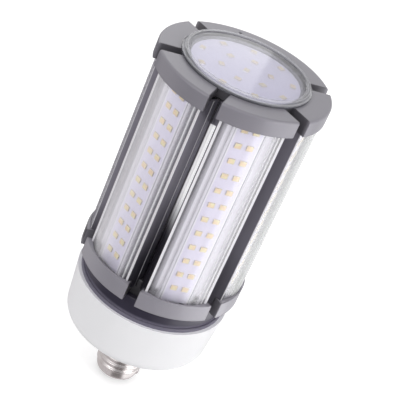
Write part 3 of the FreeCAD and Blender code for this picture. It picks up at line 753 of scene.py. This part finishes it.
# %% [markdown]
# ## Screw base
#
# The shell is brass plated with nickel, formed by rolling. The insulator is black glass, and the contact
# in its middle is tinned. One even metal shader could do for the plating, but it would mirror the studio
# as sharply as chrome. So the finish is a warm grey metal with faint rings round it, a few dull patches
# and a left side that is duller than the rest.

# %% shell, insulator and contact
def plated(name, colour):
    finish = Finish(name)
    place = Place(finish)
    rings = noise(finish, place.point * (40.0, 40.0, 2200.0), 1.0)
    patch = noise(finish, place.point, 120.0, 3.0, 0.6)
    dull = patch.step(0.5, 0.75)
    tone = finish.mix(dull * 0.35, colour, (0.50, 0.46, 0.44))
    left_side = place.sector(-200.0, -106.0, 10.0)
    rough = 0.22 + dull * 0.12 + rings * 0.06 + left_side * 0.34
    others = {"Metallic": 1.0, "Normal": bump(finish, rings, 0.01 * MM)}
    return finish.show(principled(finish, tone, rough, others))


dress(["screw_shell"], plated("nickel_plate", (0.64, 0.605, 0.60)))
dress(["centre_contact"], plated("contact_plate", (0.72, 0.70, 0.67)))
black_glass = moulded("black_glass", (0.015, 0.014, 0.016), 0.12, grain=2.0 * MM, deep=0.01 * MM, shift=0.2)
dress(["insulator"], black_glass)

# %% [markdown]
# ## What is inside
#
# The driver and its wiring are closed in, and are finished too, so that the lamp can be taken apart. Each
# piece could have a recipe of its own, but plastic, ferrite, lacquer and insulation differ mainly in
# colour and gloss. So they are one table of numbers for the moulded recipe, and only the copper winding
# gets its own.

# %% driver and leads
# the pieces, the finish, its colour and roughness, the size and depth of its grain in mm, its shift of tone
closed_in = (
    (["driver_board"], "green_solder_mask", (0.03, 0.16, 0.07), 0.35, 1.0, 0.03, 0.15),
    (["input_capacitor", "output_capacitor"], "dark_sleeve", (0.02, 0.02, 0.03), 0.3, 4.0, 0.02, 0.1),
    (["transformer"], "ferrite", (0.05, 0.05, 0.05), 0.6, 0.6, 0.05, 0.2),
    (["film_capacitor"], "red_case", (0.33, 0.03, 0.02), 0.3, 2.0, 0.01, 0.06),
    (["bridge_rectifier"], "black_moulding", (0.02, 0.02, 0.02), 0.5, 0.5, 0.03, 0.1),
    (["shell_lead", "strip_leads"], "white_insulation", (0.75, 0.74, 0.72), 0.45, 1.0, 0.01, 0.04),
    (["contact_lead", "output_leads"], "red_insulation", (0.42, 0.02, 0.02), 0.45, 1.0, 0.01, 0.06),
)
for pieces, name, colour, roughness, grain, deep, shift in closed_in:
    dress(pieces, moulded(name, colour, roughness, grain * MM, deep * MM, shift))

# %% winding and screws
def wound(name, colour):
    finish = Finish(name)
    place = Place(finish)
    wire_pitch = 0.5 * MM
    turns = (place.height * (2.0 * math.pi / wire_pitch)).number("SINE")
    bright = tuple(min(1.0, channel * 1.7) for channel in colour)
    tone = finish.mix(turns * 0.5 + 0.5, colour, bright)
    others = {"Metallic": 0.8, "Normal": bump(finish, turns, 0.1 * MM)}
    return finish.show(principled(finish, tone, 0.35 + turns * 0.05, others))


dress(["drum_inductor"], wound("copper_winding", (0.40, 0.15, 0.05)))
dress(["cap_screws", "ring_screws", "driver_screws"], plated("screw_zinc", (0.62, 0.62, 0.60)))

# %% [markdown]
# ## Floor and world
#
# The lamp stands on its contact on a pale floor. More light on the lamp could turn the floor white, but
# it would bleach the lamp too. So white comes from the floor's and the world's own colour, for what the
# camera sees, also through clear plastic.
#
# Bare metal shows little but its surroundings, so a studio lays cards round it. Here the floor itself
# answers mirrored rays with the tones of such cards: dark felt in front of the lamp, a bright card on the
# right, pale paper behind, and dark felt again at the back on the left. Close to the screw base lie a
# small dark patch and a small bright one. Only mirrored rays meet them, and the floor's shadow stays
# soft and plain.

# %% tones of the cards, as the floor shows them to mirrored rays
def card_tones(finish, place):
    # far and near are bands round the lamp, in metres from its axis, and the azimuths are in degrees
    soft = 6.0
    far = place.radius.step(0.09, 0.14)
    near = (1.0 - far) * place.radius.step(0.016, 0.020)
    front = place.sector(-150.0, -62.0, soft) * far
    right = place.sector(-35.0, 30.0, soft) * far
    behind = place.sector(30.0, 120.0, soft) * far
    back_left = place.sector(101.0, 160.0, soft) * far
    dark_patch = place.sector(-85.0, -45.0, soft) * near
    bright_patch = place.sector(-38.0, 30.0, soft) * near
    felt = finish.mix(place.radius.step(0.225, 0.285), (0.02, 0.02, 0.024), (0.20, 0.19, 0.215))
    return finish.layered((0.76, 0.73, 0.74), (
        (front, felt),
        (dark_patch, (0.26, 0.245, 0.245)),
        (behind, (1.0, 1.0, 1.02)),
        (right, (3.0, 3.0, 3.05)),
        (back_left, (0.10, 0.095, 0.11)),
        (bright_patch, (1.5, 1.5, 1.5)),
    ))


def is_ray(finish, *kinds):
    # 1 where the light path is of one of these kinds
    rays = [finish.add("ShaderNodeLightPath", {}, {}, "Is %s Ray" % kind) for kind in kinds]
    return sum(rays[1:], rays[0]).number("MINIMUM", 1.0)


print("tones ready:", card_tones.__name__)

# %% floor
def studio_paper(name):
    finish = Finish(name)
    matte = finish.add("ShaderNodeBsdfDiffuse", {}, {"Color": (0.8, 0.8, 0.8)})

    # for the camera, the paper is lifted to white by a glow that lights nothing else
    glow = finish.add("ShaderNodeEmission", {}, {"Color": WHITE, "Strength": 0.42})
    lifted = finish.add("ShaderNodeAddShader", {}, {0: matte, 1: glow})
    ground = finish.blend(is_ray(finish, "Camera", "Transmission"), matte, lifted)
    tones = card_tones(finish, Place(finish))
    cards = finish.add("ShaderNodeEmission", {}, {"Color": tones, "Strength": 1.0})
    return finish.show(finish.blend(is_ray(finish, "Glossy"), ground, cards))


floor_z = solid_box[0].z
bpy.ops.mesh.primitive_plane_add(size=12.0, location=(0, 0, floor_z))
floor = bpy.context.object
floor.name = "studio_floor"
floor.data.materials.append(studio_paper("studio_paper"))
print("floor at", round(floor_z, 4))

# %% world
world = bpy.data.worlds.new("studio_world")
bpy.context.scene.world = world
sky = Finish(world)

# the dimmer white lights the lamp, and the full one is what the camera sees and what metal mirrors
dim = sky.add("ShaderNodeBackground", {}, {"Color": WHITE, "Strength": 0.80})
white = sky.add("ShaderNodeBackground", {}, {"Color": WHITE, "Strength": 1.0})
seen_white = is_ray(sky, "Camera", "Glossy", "Transmission")
sky.show(sky.blend(seen_white, dim, white), "ShaderNodeOutputWorld")
print("world ready:", world.name)

# %% [markdown]
# ## Lamps and a dark card
#
# Soft light comes from large panels. A single one would leave one side of the lamp dull, so there are
# two: a stronger one on the right and a weaker one in front on the left. A third stands behind. It lights
# no matt surface and only shows as a shine on edges.
#
# The glossy plastic and the covers also mirror what stands beside the camera. Turning the lamps down
# would dim everything, so a dark grey card takes the glare off instead. It is clear to every ray but a
# mirrored one, so it throws no shadow.

# %% panels of light
lamp_middle = Vector((0, 0, 0.08))


def outward(azimuth, elevation):
    # the direction from the lamp to a place at an azimuth and an elevation in degrees
    turn, rise = math.radians(azimuth), math.radians(elevation)
    return Vector((math.cos(turn) * math.cos(rise), math.sin(turn) * math.cos(rise), math.sin(rise)))


def panel(name, azimuth, elevation, lean, distance, size, watts):
    # lean is the elevation that its face is square to, and distance and size are in metres
    data = bpy.data.lights.new(name, "AREA")
    data.shape = "RECTANGLE"
    data.size, data.size_y = size
    data.energy = watts
    light = bpy.data.objects.new(name, data)
    light.location = lamp_middle + outward(azimuth, elevation) * distance
    light.rotation_euler = outward(azimuth, lean).to_track_quat("Z", "Y").to_euler()
    bpy.context.scene.collection.objects.link(light)
    print(name, watts, "W at", [round(value, 2) for value in light.location])
    return light


panel("right_panel", -12.0, 18.0, 18.0, 1.1, (0.6, 0.9), 5.0)
panel("front_panel", -112.0, 30.0, 30.0, 1.3, (0.9, 0.6), 3.4)
back_panel = panel("back_panel", 121.5, 30.0, 0.0, 1.3, (1.0, 0.8), 2.0)
back_panel.visible_diffuse = False

# %% dark card beside the camera
def card_finish(name):
    finish = Finish(name)
    grey = finish.add("ShaderNodeEmission", {}, {"Color": (0.30, 0.285, 0.285), "Strength": 1.0})
    clear_air = finish.add("ShaderNodeBsdfTransparent", {}, {"Color": WHITE})
    return finish.show(finish.blend(is_ray(finish, "Glossy"), clear_air, grey))


card_azimuth = -62.0
card_distance = 0.32
card_size = (0.24, 0.36, 1.0)
card_middle = Vector((0, 0, 0.16))
bpy.ops.mesh.primitive_plane_add(size=1.0)
card = bpy.context.object
card.name = "dark_card"
card.scale = card_size
card.location = outward(card_azimuth, 0.0) * card_distance + card_middle
card.rotation_euler = outward(card_azimuth, 0.0).to_track_quat("Z", "Y").to_euler()
card.data.materials.append(card_finish("card_black"))
print("card at azimuth", card_azimuth)

# %% plain view of the colours
# Standard shows a colour as it was written, where Blender's first choice would soften the bright ones
bpy.context.scene.view_settings.view_transform = "Standard"
print("view transform:", bpy.context.scene.view_settings.view_transform)
